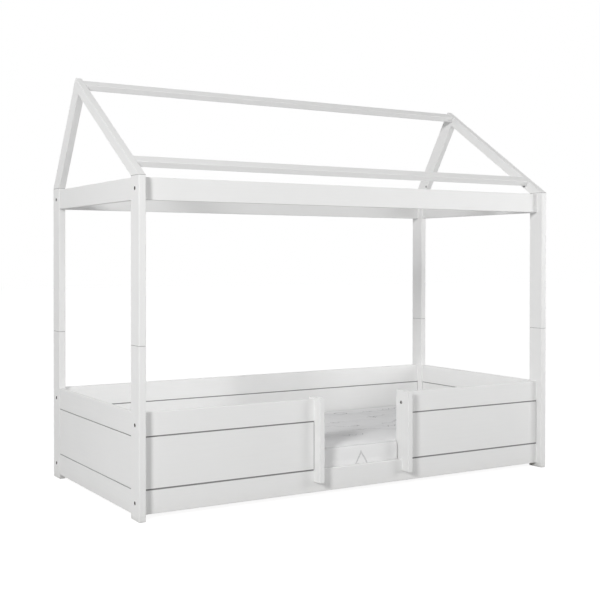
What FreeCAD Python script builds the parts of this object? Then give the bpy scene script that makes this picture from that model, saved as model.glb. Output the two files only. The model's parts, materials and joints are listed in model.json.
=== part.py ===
import FreeCAD, Part
import math
import os

# House frame bed for a child, millimetres.
# Origin: middle of the footprint on the floor. +X along the bed, +Y from the
# entrance side to the rear side, +Z up. The ridge lies nearer the rear side.

V = FreeCAD.Vector

# ---- driving dimensions ---------------------------------------------------
LENGTH = 2070.0          # outside of the posts along X
DEPTH = 1004.0           # outside of the corner posts along Y
POST_T = 29.0            # post thickness along X
POST_W = 81.0            # post width along Y
POST_TOP = 1305.0        # where the rafters stand on the posts
POST_SEAM = 662.0        # joint between lower and upper post
APEX_Z = 1766.0          # top of the gables
RIDGE_SHARE = 0.7015     # ridge position as a share of the depth, from the front
FOOT_H = 18.0            # glide under each post
SEAM_EASE = 1.0          # bevel round the ends of posts and rafters

BOARD_T = 18.0           # rails and panels
RECESS = 32.0            # long boards behind the post faces
END_RECESS = 2.0         # end boards behind the post faces
RAIL_Z = (20.0, 113.0)   # bottom rails
PANEL_Z = (113.0, 315.0)
CAP_Z = (315.0, 408.0)   # top rails of ends, back and guards
UPPER_Z = (1212.0, 1299.0)
GROOVE = 2.6             # half of the V groove between boards

ENTRY_T = 24.0           # entrance post thickness along X
ENTRY_W = 90.0           # entrance post width along Y
ENTRY_OUT = 12.0         # entrance posts in front of the corner posts
ENTRY_Z = (64.0, 413.5)
ENTRY_X = (-242.0, 212.0)    # left faces of the two entrance posts

BAR_W = 44.0             # ridge bar and purlin, along the slope
BAR_T = 26.0
RIDGE_DROP = 20.0        # ridge bar's upper edge below the apex, along the slope
PURLIN_UP = 150.0        # purlin's upper edge above the front foot

SLAT = (70.0, 18.0)      # width, thickness
SLAT_COUNT = 13
SLAT_PITCH = 150.0
SLAT_TOP = 80.0
BATTEN = 25.0            # slat supports, square
MATTRESS = (1999.0, 899.0, 120.0)
HOLLOW_SIDE, HOLLOW_REAR = 3.0, 2.0     # clearance of the foam around an entrance post
HOLLOW_R, HOLLOW_RIM = 4.0, 6.0         # its rear corners, and its upper rim

DOWEL_R, DOWEL_L = 4.0, 30.0
PIN_R, PIN_L = 5.0, 60.0
RAFTER_PIN_L = 40.0      # pins between the posts and the rafters' feet
PLAY = 0.15              # radial play of dowels and pins
BOLT_R, BOLT_L = 3.0, 60.0
HEAD_R, HEAD_H = 6.0, 4.0
NUT_R, NUT_L = 5.0, 13.0
NUT_IN = 34.0            # barrel nut behind a board's end

# ---- derived --------------------------------------------------------------
XO = LENGTH / 2.0
XI = XO - POST_T
FRONT = -(DEPTH + ENTRY_OUT) / 2.0 + ENTRY_OUT
BACK = FRONT + DEPTH
MID = (FRONT + BACK) / 2.0
RIDGE_Y = FRONT + RIDGE_SHARE * DEPTH
F_OUT, F_IN = FRONT + RECESS, FRONT + RECESS + BOARD_T
B_OUT, B_IN = BACK - RECESS, BACK - RECESS - BOARD_T
E_OUT, E_IN = XO - END_RECESS, XO - END_RECESS - BOARD_T
BOLT_Y = (F_OUT + BOARD_T / 2.0, B_OUT - BOARD_T / 2.0)
CAP_MID = sum(CAP_Z) / 2.0
RAIL_MID = sum(RAIL_Z) / 2.0
UPPER_MID = sum(UPPER_Z) / 2.0

os.makedirs("parts", exist_ok=True)


# ---- helpers --------------------------------------------------------------
def box(x0, x1, y0, y1, z0, z1):
    return Part.makeBox(x1 - x0, y1 - y0, z1 - z0, V(x0, y0, z0))


def cyl(p, axis, r, length):
    return Part.makeCylinder(r, length, V(*p), V(*axis))


def prism(points, push):
    wire = Part.makePolygon([V(*p) for p in points] + [V(*points[0])])
    return Part.Face(wire).extrude(V(*push))


def straight_edges(shape, axis, keep):
    """Edges along one axis (0, 1, 2) for which keep(midpoint) holds."""
    found = []
    for e in shape.Edges:
        a, b = e.Vertexes[0].Point, e.Vertexes[-1].Point
        d = b - a
        if d.Length > 1.0 and abs(abs(d[axis]) - d.Length) < 1e-6:
            if keep((a + b) * 0.5):
                found.append(e)
    return found


def board(axis, span, across, z, low, high):
    """A board along X (axis 0) or Y (axis 1); low and high are the bevels of
    its bottom and top edges on both faces."""
    (s0, s1), (t0, t1), (z0, z1) = span, across, z
    ring = []
    for p in ((t0 + low, z0), (t1 - low, z0), (t1, z0 + low), (t1, z1 - high),
              (t1 - high, z1), (t0 + high, z1), (t0, z1 - high), (t0, z0 + low)):
        if p not in ring:
            ring.append(p)
    if axis == 0:
        return prism([(s0, t, h) for t, h in ring], (s1 - s0, 0, 0))
    return prism([(t, s0, h) for t, h in ring], (0, s1 - s0, 0))


def panel(axis, span, across, z):
    """A centre panel whose four borders are bevelled on both faces."""
    body = board(axis, span, across, z, GROOVE, GROOVE)
    ends = straight_edges(body, 2, lambda m: True)
    ends = [e for e in ends if e.Length > 50.0]
    return body.makeChamfer(GROOVE * 0.8, ends)


def ease_top(shape, axis, z, r=3.0):
    return shape.makeFillet(r, straight_edges(shape, axis, lambda m: abs(m.z - z) < 0.1))


def save(name, shape):
    if not shape.isValid():
        print("not valid:", name)
    shape.exportStep("parts/" + name + ".step")
    print(name, len(shape.Solids), round(shape.Volume / 1000.0, 1))


# ---- fixings, collected while the boards are made ---------------------------
dowels, pins, bolts, nuts, screws = [], [], [], [], []


def dowel_hole(p, axis):
    """A dowel centred on p; returns the hole that both boards need."""
    a = V(*axis)
    start = V(*p) - a * (DOWEL_L / 2.0)
    dowels.append(Part.makeCylinder(DOWEL_R, DOWEL_L, start, a))
    return Part.makeCylinder(DOWEL_R + PLAY, DOWEL_L + 1.0, start - a * 0.5, a)


def pin_hole(p, axis, length=PIN_L):
    a = V(*axis)
    start = V(*p) - a * (length / 2.0)
    pins.append(Part.makeCylinder(PIN_R, length, start, a))
    return Part.makeCylinder(PIN_R + PLAY, length + 1.0, start - a * 0.5, a)


def bolt_joint(x_face, sign, y, z, sink, thick, inner):
    """A bolt through a post into a board's end. sign is the way the bolt
    points; inner is the side (-1 or 1 in Y) where the barrel nut's hole opens.
    Returns the post's hole and the board's hole."""
    a = V(sign, 0, 0)
    face = V(x_face, y, z)
    seat = face + a * sink
    head = Part.makeCylinder(HEAD_R, HEAD_H, seat - a * HEAD_H, a)
    hexagon = [seat - a * HEAD_H + V(0, 2.9 * math.cos(t), 2.9 * math.sin(t))
               for t in (math.radians(60.0 * i) for i in range(6))]
    key = Part.Face(Part.makePolygon(hexagon + [hexagon[0]])).extrude(a * 2.4)
    shank = Part.makeCylinder(BOLT_R, BOLT_L, seat, a)
    bolts.append(head.cut(key).fuse(shank).removeSplitter())
    post = Part.makeCylinder(HEAD_R + 1.0, sink, face, a)
    post = post.fuse(Part.makeCylinder(BOLT_R + 0.5, thick + 2.0, face - a, a))
    end = face + a * thick
    hole = Part.makeCylinder(BOLT_R + 0.5, 52.0, end - a, a)
    n0 = end + a * NUT_IN + V(0, -inner * (BOARD_T / 2.0 - 4.5), 0)
    nut = Part.makeCylinder(NUT_R, NUT_L, n0, V(0, inner, 0))
    nuts.append(nut.cut(Part.makeCylinder(BOLT_R + 0.2, 20.0, end + a * (NUT_IN - 10.0), a)))
    pocket = Part.makeCylinder(NUT_R + PLAY, NUT_L + 2.0, n0 - V(0, inner * 0.3, 0), V(0, inner, 0))
    return post, hole.fuse(pocket)


def screw(p, axis, length=32.0):
    """A countersunk screw with its head flush at p, pointing along axis."""
    a = V(*axis)
    head = Part.makeCone(3.6, 1.8, 2.4, V(*p), a)
    screws.append(head.fuse(Part.makeCylinder(1.8, length, V(*p), a)).removeSplitter())
    hole = Part.makeCone(3.7, 1.9, 2.5, V(*p), a)
    return hole.fuse(Part.makeCylinder(1.9, length + 0.6, V(*p), a))


# ---- corner posts -----------------------------------------------------------
def post_block(side, y0, z0, z1):
    x0 = XI if side > 0 else -XO
    body = box(x0, x0 + POST_T, y0, y0 + POST_W, z0, z1)
    body = body.makeFillet(3.0, straight_edges(body, 2, lambda m: True))
    rims = [e for e in body.Edges if e.BoundBox.ZMax < z0 + 0.1 or e.BoundBox.ZMin > z1 - 0.1]
    return body.makeChamfer(SEAM_EASE, rims)


cuts = {}                # holes gathered per node


def cut_later(name, *holes):
    cuts.setdefault(name, []).extend(holes)


CORNERS = (("left_front", -1, 0), ("left_rear", -1, 1),
           ("right_front", 1, 0), ("right_rear", 1, 1))
LONG_NODES = ((("front_bottom_rail", RAIL_MID), ("back_bottom_rail", RAIL_MID)),
              (("guard_{}_top_rail", CAP_MID), ("back_top_rail", CAP_MID)),
              (("upper_front_rail", UPPER_MID), ("upper_back_rail", UPPER_MID)))

for where, side, rear in CORNERS:
    y0 = BACK - POST_W if rear else FRONT
    y = BOLT_Y[rear]
    for level in LONG_NODES:
        node, z = level[rear]
        node = node.format("left" if side < 0 else "right")
        a, b = bolt_joint(side * XO, -side, y, z, 8.0, POST_T, 1)
        cut_later(("upper_post_" if z > POST_SEAM else "lower_post_") + where, a)
        cut_later(node, b)
    x = side * (XO - POST_T / 2.0)
    for dy in (-20.0, 20.0):
        yc = y0 + POST_W / 2.0 + dy
        h = pin_hole((x, yc, POST_SEAM), (0, 0, 1))
        cut_later("lower_post_" + where, h)
        cut_later("upper_post_" + where, h)
    # one pin from the post's top into the rafter's foot, where the foot is thick enough
    yc = BACK - 30.0 if rear else FRONT + 48.0
    h = pin_hole((x, yc, POST_TOP), (0, 0, 1), RAFTER_PIN_L)
    cut_later("upper_post_" + where, h)
    cut_later("rafter_" + where, h)

# glides with a peg that holds them in the posts
for where, side, rear in CORNERS:
    y0 = BACK - POST_W if rear else FRONT
    x0 = XI if side > 0 else -XO
    pad = box(x0 + 0.4, x0 + POST_T - 0.4, y0 + 0.4, y0 + POST_W - 0.4, 0, FOOT_H)
    pad = pad.makeFillet(2.6, straight_edges(pad, 2, lambda m: True))
    low = [e for e in pad.Edges if e.BoundBox.ZMax < 0.01]
    pad = pad.makeChamfer(1.8, low)
    c = (x0 + POST_T / 2.0, y0 + POST_W / 2.0)
    peg = cyl((c[0], c[1], FOOT_H - 1.0), (0, 0, 1), 5.0, 26.0)
    save("foot_" + where, pad.fuse(peg).removeSplitter())
    cut_later("lower_post_" + where, cyl((c[0], c[1], FOOT_H - 1.0), (0, 0, 1), 5.0 + PLAY, 27.0))

# ---- boards between the posts, one set at each end ----------------------------
boards = {}
for tag, side in (("left", -1), ("right", 1)):
    across = (-E_OUT, -E_IN) if side < 0 else (E_IN, E_OUT)
    span = (FRONT + POST_W, BACK - POST_W)
    end = "end_" + tag + "_"
    boards[end + "bottom_rail"] = board(1, span, across, RAIL_Z, 1.2, GROOVE)
    boards[end + "panel"] = panel(1, span, across, PANEL_Z)
    boards[end + "top_rail"] = ease_top(board(1, span, across, CAP_Z, GROOVE, 0.0), 1, CAP_Z[1])
    upper = "upper_" + tag + "_rail"
    boards[upper] = ease_top(board(1, span, across, UPPER_Z, 1.2, 0.0), 1, UPPER_Z[1])
    xc = sum(across) / 2.0
    for y, where in ((span[0], tag + "_front"), (span[1], tag + "_rear")):
        for node, z, post in ((end + "bottom_rail", RAIL_MID, "lower_post_"),
                              (end + "top_rail", CAP_MID, "lower_post_"),
                              (upper, UPPER_MID, "upper_post_")):
            for dz in (-24.0, 24.0):
                h = dowel_hole((xc, y, z + dz), (0, 1, 0))
                cut_later(node, h)
                cut_later(post + where, h)
    for z, node in ((PANEL_Z[0], "bottom_rail"), (PANEL_Z[1], "top_rail")):
        for y in (MID - 280.0, MID, MID + 280.0):
            h = dowel_hole((xc, y, z), (0, 0, 1))
            cut_later(end + "panel", h)
            cut_later(end + node, h)

# ---- long boards at the back and the front --------------------------------------
LONG = (-XI, XI)
boards["back_bottom_rail"] = board(0, LONG, (B_IN, B_OUT), RAIL_Z, 1.2, GROOVE)
boards["back_panel"] = panel(0, LONG, (B_IN, B_OUT), PANEL_Z)
boards["back_top_rail"] = ease_top(board(0, LONG, (B_IN, B_OUT), CAP_Z, GROOVE, 0.0), 0, CAP_Z[1])
boards["front_bottom_rail"] = board(0, LONG, (F_OUT, F_IN), RAIL_Z, 1.2, GROOVE)
boards["upper_front_rail"] = ease_top(
    board(0, LONG, (F_OUT, F_IN), UPPER_Z, 1.2, 0.0), 0, UPPER_Z[1])
boards["upper_back_rail"] = ease_top(
    board(0, LONG, (B_IN, B_OUT), UPPER_Z, 1.2, 0.0), 0, UPPER_Z[1])
GUARDS = {"left": (-XI, ENTRY_X[0]), "right": (ENTRY_X[1] + ENTRY_T, XI)}
for tag, span in GUARDS.items():
    boards["guard_" + tag + "_panel"] = panel(0, span, (F_OUT, F_IN), PANEL_Z)
    boards["guard_" + tag + "_top_rail"] = ease_top(
        board(0, span, (F_OUT, F_IN), CAP_Z, GROOVE, 0.0), 0, CAP_Z[1])


def join_levels(lower, middle, upper, xs, y):
    for z, other in ((PANEL_Z[0], lower), (PANEL_Z[1], upper)):
        for x in xs:
            h = dowel_hole((x, y, z), (0, 0, 1))
            cut_later(middle, h)
            cut_later(other, h)


join_levels("back_bottom_rail", "back_panel", "back_top_rail",
            [-860.0 + 430.0 * i for i in range(5)], BOLT_Y[1])
for tag, span in GUARDS.items():
    mid = sum(span) / 2.0
    join_levels("front_bottom_rail", "guard_" + tag + "_panel", "guard_" + tag + "_top_rail",
                [mid - 300.0, mid, mid + 300.0], BOLT_Y[0])

# ---- entrance posts, slotted over the bottom rail ---------------------------------
for i, (tag, x0) in enumerate((("left", ENTRY_X[0]), ("right", ENTRY_X[1]))):
    y0 = FRONT - ENTRY_OUT
    body = box(x0, x0 + ENTRY_T, y0, y0 + ENTRY_W, *ENTRY_Z)
    body = body.makeFillet(3.0, straight_edges(body, 2, lambda m: True))
    slot = box(x0 - 1, x0 + ENTRY_T + 1, F_OUT - 0.2, F_IN + 0.2, ENTRY_Z[0] - 1, RAIL_Z[1] + 0.2)
    body = body.cut(slot)
    face = x0 + ENTRY_T if i == 0 else x0
    sign = -1 if i == 0 else 1
    a, b = bolt_joint(face, sign, BOLT_Y[0], CAP_MID, 6.0, ENTRY_T, 1)
    cut_later("guard_" + tag + "_top_rail", b)
    x_end = x0 if i == 0 else x0 + ENTRY_T
    h = dowel_hole((x_end + sign * 5.0, BOLT_Y[0], 214.0), (1, 0, 0))
    cut_later("guard_" + tag + "_panel", h)
    cut_later("entrance_post_" + tag, a, h)
    boards["entrance_post_" + tag] = body

# ---- gables -----------------------------------------------------------------------
INNER = DEPTH - 2.0 * POST_W
IN_Y = FRONT + POST_W + RIDGE_SHARE * INNER
IN_Z = POST_TOP + (APEX_Z - POST_TOP) * INNER / DEPTH
SHAPE = {0: ((FRONT, POST_TOP), (FRONT + POST_W, POST_TOP), (IN_Y, IN_Z), (RIDGE_Y, APEX_Z)),
         1: ((BACK, POST_TOP), (BACK - POST_W, POST_TOP), (IN_Y, IN_Z), (RIDGE_Y, APEX_Z))}
MITRE = V(0, RIDGE_Y - IN_Y, APEX_Z - IN_Z).normalize()
SLOPE = V(0, RIDGE_Y - FRONT, APEX_Z - POST_TOP).normalize()
BELOW = V(0, SLOPE.z, -SLOPE.y)
PLUGS = {0: (FRONT + 121.0, 1343.0), 1: (BACK - 121.0, 1384.0)}
plugs = []
for where, side, rear in CORNERS:
    x0 = XI if side > 0 else -XO
    body = prism([(x0, y, z) for y, z in SHAPE[rear]], (POST_T, 0, 0))
    body = body.makeFillet(2.0, [e for e in body.Edges if e.Length > 300.0])
    foot = [e for e in body.Edges if e.BoundBox.ZMax < POST_TOP + 0.1]
    boards["rafter_" + where] = body.makeChamfer(SEAM_EASE, foot)
    y, z = PLUGS[rear]
    xi = XI if side > 0 else -XI
    plugs.append(cyl((xi - side * 0.4, y, z), (side, 0, 0), 6.0, 8.4))
    cut_later("rafter_" + where, cyl((xi - side, y, z), (side, 0, 0), 6.0 + PLAY, 9.5))
for side, tag in ((-1, "left"), (1, "right")):
    x = side * (XO - POST_T / 2.0)
    m = V(x, (IN_Y + RIDGE_Y) / 2.0, (IN_Z + APEX_Z) / 2.0)
    across = V(0, MITRE.z, -MITRE.y)
    h = dowel_hole(tuple(m), tuple(across))
    cut_later("rafter_" + tag + "_front", h)
    cut_later("rafter_" + tag + "_rear", h)


def slope_bar(up):
    """A bar along X whose upper face lies in the front slope; up is the
    distance of its upper edge from the front foot."""
    foot = V(-XI, FRONT, POST_TOP)
    p = [foot + SLOPE * up, foot + SLOPE * (up - BAR_W),
         foot + SLOPE * (up - BAR_W) + BELOW * BAR_T, foot + SLOPE * up + BELOW * BAR_T]
    body = prism([tuple(q) for q in p], (2.0 * XI, 0, 0))
    return body.makeFillet(2.0, [e for e in body.Edges if e.Length > 1000.0])


SLOPE_LENGTH = math.hypot(RIDGE_Y - FRONT, APEX_Z - POST_TOP)
for name, up in (("ridge_bar", SLOPE_LENGTH - RIDGE_DROP), ("front_purlin", PURLIN_UP)):
    boards[name] = slope_bar(up)
    for side, tag in ((-1, "left"), (1, "right")):
        for along in (11.0, 33.0):
            c = V(side * (XI + 2.0), FRONT, POST_TOP) + SLOPE * (up - along) + BELOW * (BAR_T / 2.0)
            h = dowel_hole(tuple(c), (1, 0, 0))
            cut_later(name, h)
            cut_later("rafter_" + tag + "_front", h)

# ---- slats on two battens ------------------------------------------------------------
SLAT_Z = (SLAT_TOP - SLAT[1], SLAT_TOP)
BATTEN_Z = (SLAT_Z[0] - BATTEN, SLAT_Z[0])
BATTENS = (("front", F_IN, F_IN + BATTEN, 1), ("back", B_IN - BATTEN, B_IN, -1))
for tag, y0, y1, inner in BATTENS:
    name = "slat_batten_" + tag
    boards[name] = box(-XI + 6.0, XI - 6.0, y0, y1, *BATTEN_Z)
    rail = "front_bottom_rail" if inner > 0 else "back_bottom_rail"
    for i in range(6):
        p = (-900.0 + 360.0 * i, y1 if inner > 0 else y0, BATTEN_Z[0] + 12.5)
        h = screw(p, (0, -inner, 0), 36.0)
        cut_later(name, h)
        cut_later(rail, h)
for i in range(SLAT_COUNT):
    xc = (i - (SLAT_COUNT - 1) / 2.0) * SLAT_PITCH
    name = "slat_{:02d}".format(i + 1)
    body = box(xc - SLAT[0] / 2, xc + SLAT[0] / 2, F_IN + 3.0, B_IN - 3.0, *SLAT_Z)
    boards[name] = body.makeFillet(3.0, straight_edges(body, 1, lambda m: True))
    for tag, y0, y1, inner in BATTENS:
        h = screw((xc, (y0 + y1) / 2.0 + inner * 1.5, SLAT_TOP), (0, 0, -1), 34.0)
        cut_later(name, h)
        cut_later("slat_batten_" + tag, h)

# ---- holes ---------------------------------------------------------------------------
for where, side, rear in CORNERS:
    y0 = BACK - POST_W if rear else FRONT
    boards["lower_post_" + where] = post_block(side, y0, FOOT_H, POST_SEAM)
    boards["upper_post_" + where] = post_block(side, y0, POST_SEAM, POST_TOP)
for name in sorted(boards):
    shape = boards[name]
    if name in cuts:
        shape = shape.cut(Part.makeCompound(cuts[name]))
    save(name, shape)

# ---- fixings ---------------------------------------------------------------------------
for name, items in (("wood_dowels", dowels), ("post_pins", pins), ("corner_bolts", bolts),
                    ("barrel_nuts", nuts), ("slat_screws", screws), ("rafter_plugs", plugs)):
    save(name, Part.makeCompound(items))


# ---- mattress: crowned top, rounded rims, pressed in at the entrance posts ----------------
def rounded_wire(points, radii, z):
    """A closed wire at height z through points, each corner rounded by its radius."""
    corners = []
    for i, p in enumerate(points):
        here = V(p[0], p[1], z)
        a = (V(points[i - 1][0], points[i - 1][1], z) - here).normalize()
        nxt = points[(i + 1) % len(points)]
        b = (V(nxt[0], nxt[1], z) - here).normalize()
        half = a.getAngle(b) / 2.0
        middle = (a + b).normalize()
        reach = radii[i] / math.tan(half)
        crest = here + middle * (radii[i] / math.sin(half) - radii[i])
        corners.append((here + a * reach, crest, here + b * reach))
    edges = []
    for i, (p1, crest, p2) in enumerate(corners):
        edges.append(Part.Arc(p1, crest, p2).toShape())
        edges.append(Part.makeLine(p2, corners[(i + 1) % len(corners)][0]))
    return Part.Wire(edges)


def mattress():
    lx, ly, h = MATTRESS[0] / 2.0, MATTRESS[1] / 2.0, MATTRESS[2]
    y0, y1 = MID - ly, MID + ly
    z0 = SLAT_TOP + 0.4
    z1 = z0 + h
    crown = 5.0
    plan = [(-lx, y1), (-lx, y0), (lx, y0), (lx, y1)]
    body = Part.Face(rounded_wire(plan, [45.0] * 4, z0)).extrude(V(0, 0, h + 2.0 * crown))
    xa, ya, yb = -lx - 5.0, y0 - 5.0, y1 + 5.0
    dome = Part.Wire([Part.makeLine(V(xa, ya, z0 - 5), V(xa, yb, z0 - 5)),
                      Part.makeLine(V(xa, yb, z0 - 5), V(xa, yb, z1)),
                      Part.Arc(V(xa, yb, z1), V(xa, MID, z1 + crown), V(xa, ya, z1)).toShape(),
                      Part.makeLine(V(xa, ya, z1), V(xa, ya, z0 - 5))])
    body = body.common(Part.Face(dome).extrude(V(2.0 * lx + 10.0, 0, 0)))
    body = body.makeFillet(9.0, [e for e in body.Edges if e.BoundBox.ZMax < z0 + 0.01])
    body = body.makeFillet(20.0, [e for e in body.Edges if e.BoundBox.ZMin > z1 - 4.0])
    rear = FRONT - ENTRY_OUT + ENTRY_W + HOLLOW_REAR
    rims = []
    for x0 in ENTRY_X:
        xl, xr = x0 - HOLLOW_SIDE, x0 + ENTRY_T + HOLLOW_SIDE
        plan = [(xl, y0 - 30.0), (xr, y0 - 30.0), (xr, rear), (xl, rear)]
        hollow = Part.Face(rounded_wire(plan, [1.0, 1.0, HOLLOW_R, HOLLOW_R], z0 - 10.0))
        body = body.cut(hollow.extrude(V(0, 0, h + 40.0)))
        rims.append((xl - 10.0, xr + 10.0))
    return body.makeFillet(HOLLOW_RIM, [e for e in body.Edges if e.BoundBox.ZMin > z1 - 30.0
                                        and e.BoundBox.YMax < rear + 10.0
                                        and any(a < e.BoundBox.XMin and e.BoundBox.XMax < b for a, b in rims)])


save("mattress", mattress())
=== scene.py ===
"""Looks of a child's house frame bed: lacquered boards, slatted base and a foam mattress.

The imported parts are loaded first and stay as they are. This file gives every part its finish,
replaces the plain mattress solid by a sewn, filled cover, and sets a plain pale studio.
Everything is in metres, in the frame of the parts: +X along the bed, +Y from the entrance side
to the rear side, +Z up, with the floor at zero.
"""
import json
import logging
import math
from dataclasses import dataclass
from enum import Enum
from functools import reduce
from typing import Any, Dict, List, Optional, Sequence, Tuple

import bmesh
import bpy
import numpy as np
from mathutils import Matrix, Vector

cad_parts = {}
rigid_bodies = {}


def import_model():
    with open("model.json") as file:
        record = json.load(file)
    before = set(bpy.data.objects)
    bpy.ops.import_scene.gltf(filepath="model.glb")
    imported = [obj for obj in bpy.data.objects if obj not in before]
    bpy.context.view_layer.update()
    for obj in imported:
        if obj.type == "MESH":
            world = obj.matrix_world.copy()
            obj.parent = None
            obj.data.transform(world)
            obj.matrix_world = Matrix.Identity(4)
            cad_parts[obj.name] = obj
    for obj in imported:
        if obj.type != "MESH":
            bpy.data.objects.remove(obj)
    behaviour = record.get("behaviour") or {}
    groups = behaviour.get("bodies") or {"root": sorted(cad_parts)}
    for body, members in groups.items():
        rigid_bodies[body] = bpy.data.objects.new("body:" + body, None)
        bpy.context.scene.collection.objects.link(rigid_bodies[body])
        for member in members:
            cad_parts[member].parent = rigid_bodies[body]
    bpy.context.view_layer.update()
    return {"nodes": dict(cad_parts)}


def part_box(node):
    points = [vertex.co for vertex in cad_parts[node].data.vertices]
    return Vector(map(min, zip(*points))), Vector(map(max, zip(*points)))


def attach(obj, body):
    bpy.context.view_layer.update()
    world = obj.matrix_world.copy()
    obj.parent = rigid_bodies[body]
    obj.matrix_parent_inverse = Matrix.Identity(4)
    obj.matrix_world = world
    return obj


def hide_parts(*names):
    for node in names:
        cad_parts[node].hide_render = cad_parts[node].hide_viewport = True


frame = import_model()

LOG = logging.getLogger("house_frame_bed")
Rgb = Tuple[float, float, float]
Point = Tuple[float, float, float]
Pair = Tuple[float, float]
Array = np.ndarray
Tree = bpy.types.NodeTree
Node = bpy.types.Node
Socket = bpy.types.NodeSocket
Material = bpy.types.Material
Thing = bpy.types.Object
Mesh = bpy.types.Mesh
NOWHERE: Point = (0.0, 0.0, 0.0)
FAR = 9.0
COVER_MAP = "cover_map"
TOP_PANEL = "top_panel"
ARC_POINTS = 13


# ---- small helpers for node trees ----
class Graph:
    """A thin hand on one node tree, so that finishes read as short recipes."""

    def __init__(self, tree: Tree, owner: Any = None) -> None:
        """Works on one tree, of a material or world where it has an owner."""
        self.tree, self.owner, self.shader = tree, owner, None

    def node(self, kind: str, feeds: Optional[Dict[Any, Any]] = None, **settings: Any) -> Node:
        """Adds a node.

        Args:
            kind: its Blender type.
            feeds: what goes into its inputs, by name or number.
            settings: its properties.
        Returns:
            The node.
        """
        made = self.tree.nodes.new(kind)
        for name, value in settings.items():
            setattr(made, name, value)
        for name, value in (feeds or {}).items():
            self.feed(made.inputs[name], value)
        return made

    def feed(self, socket: Socket, value: Any) -> None:
        """Links a socket or writes a constant.

        Args:
            socket: the input to fill.
            value: another node's output, or a plain value.
        """
        if isinstance(value, Socket):
            self.tree.links.new(value, socket)
        elif isinstance(value, tuple) and len(value) == 3 and socket.type == "RGBA":
            socket.default_value = (*value, 1.0)
        else:
            socket.default_value = value

    def maths(self, kind: str, a: Any, b: Any = 0.0, c: Any = 0.0) -> Socket:
        """The result of one Math node of a kind, on up to three values."""
        return self.node("ShaderNodeMath", {0: a, 1: b, 2: c}, operation=kind).outputs[0]

    def times(self, *factors: Any) -> Socket:
        """The product of all factors."""
        return reduce(lambda a, b: self.maths("MULTIPLY", a, b), factors)

    def scaled(self, value: Any, by: Any, more: Any) -> Socket:
        """A value times by, plus more."""
        return self.maths("MULTIPLY_ADD", value, by, more)

    def less(self, a: Any, b: Any) -> Socket:
        """a - b."""
        return self.maths("SUBTRACT", a, b)

    def apart(self, a: Any, b: Any) -> Socket:
        """|a - b|."""
        return self.maths("ABSOLUTE", self.less(a, b))

    def least(self, *values: Any) -> Socket:
        """The least of all values."""
        return reduce(lambda a, b: self.maths("MINIMUM", a, b), values)

    def most(self, *values: Any) -> Socket:
        """The greatest of all values."""
        return reduce(lambda a, b: self.maths("MAXIMUM", a, b), values)

    def vector(self, kind: str, a: Any, b: Any) -> Socket:
        """The result of one Vector Math node on two vectors, or a vector and the factor of SCALE."""
        made = self.node("ShaderNodeVectorMath", {0: a, "Scale" if kind == "SCALE" else 1: b}, operation=kind)
        return made.outputs["Value" if kind == "DISTANCE" else "Vector"]

    def parts(self, vector: Any) -> List[Socket]:
        """The x, y and z of a vector."""
        return list(self.node("ShaderNodeSeparateXYZ", {0: vector}).outputs)

    def mapped(self, vector: Any, **ways: Point) -> Socket:
        """A vector changed by a Mapping node's Location, Rotation or Scale."""
        return self.node("ShaderNodeMapping", {"Vector": vector, **ways}, vector_type="POINT").outputs[0]

    def group(self, tree: Tree, **values: Any) -> Any:
        """Places a shared effect with these values, an underscore for a space; gives its outputs."""
        feeds = {name.replace("_", " "): value for name, value in values.items()}
        return self.node("ShaderNodeGroup", feeds, node_tree=tree).outputs

    def cover_map(self) -> Socket:
        """The flat map of the mattress's cover, in metres."""
        return self.node("ShaderNodeUVMap", uv_map=COVER_MAP).outputs[0]

    def blend(self, share: Any, a: Any, b: Any) -> Socket:
        """Mixes two colours: a share of 0 gives a, 1 gives b."""
        return self.node("ShaderNodeMix", {0: share, 6: a, 7: b}, data_type="RGBA").outputs[2]

    def choose(self, flag: Any, a: Any, b: Any) -> Socket:
        """Picks one of two values: a flag of 0 gives a, 1 gives b."""
        return self.node("ShaderNodeMix", {0: flag, 2: a, 3: b}, data_type="FLOAT").outputs[0]

    def noise(self, vector: Any, scale: Any, detail: float = 3.0, rough: float = 0.5) -> Socket:
        """Noise at a vector: features per metre, octaves, and how strong the finer ones are."""
        feeds = {"Vector": vector, "Scale": scale, "Detail": detail, "Roughness": rough}
        return self.node("ShaderNodeTexNoise", feeds).outputs[0]

    def ramp(self, value: Any, low: float, high: float) -> Socket:
        """A smooth step of a value from 0 at low to 1 at high; high may be the lesser of the two."""
        ends = dict(enumerate((value, low, high, 0.0, 1.0) if low < high else (value, high, low, 1.0, 0.0)))
        return self.node("ShaderNodeMapRange", ends, interpolation_type="SMOOTHSTEP").outputs[0]

    def sees_white(self) -> Socket:
        """1 for the rays of camera, gloss and glass, which see a white background."""
        path = self.node("ShaderNodeLightPath").outputs
        return self.most(path["Is Camera Ray"], path["Is Glossy Ray"], path["Is Transmission Ray"])


def fresh(owner: Any) -> Graph:
    """Empties the nodes of a material or world."""
    owner.use_nodes = True
    owner.node_tree.nodes.clear()
    return Graph(owner.node_tree, owner)


def new_group(name: str, outputs: Sequence[str], **inputs: Any) -> Tuple[Graph, Any, Any]:
    """Makes an empty shader node group with named sockets.

    Args:
        name: its name.
        outputs: the names of its outputs, all numbers.
        inputs: each input's default; an underscore stands for a space.
    Returns:
        A Graph on it, its inputs' sockets and its outputs' sockets.
    """
    group = bpy.data.node_groups.new(name, "ShaderNodeTree")
    for title, value in inputs.items():
        kind = "NodeSocketVector" if isinstance(value, tuple) else "NodeSocketFloat"
        made = group.interface.new_socket(name=title.replace("_", " "), in_out="INPUT", socket_type=kind)
        made.default_value = value
    for title in outputs:
        group.interface.new_socket(name=title, in_out="OUTPUT", socket_type="NodeSocketFloat")
    g = Graph(group)
    return g, g.node("NodeGroupInput").outputs, g.node("NodeGroupOutput").inputs


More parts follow.
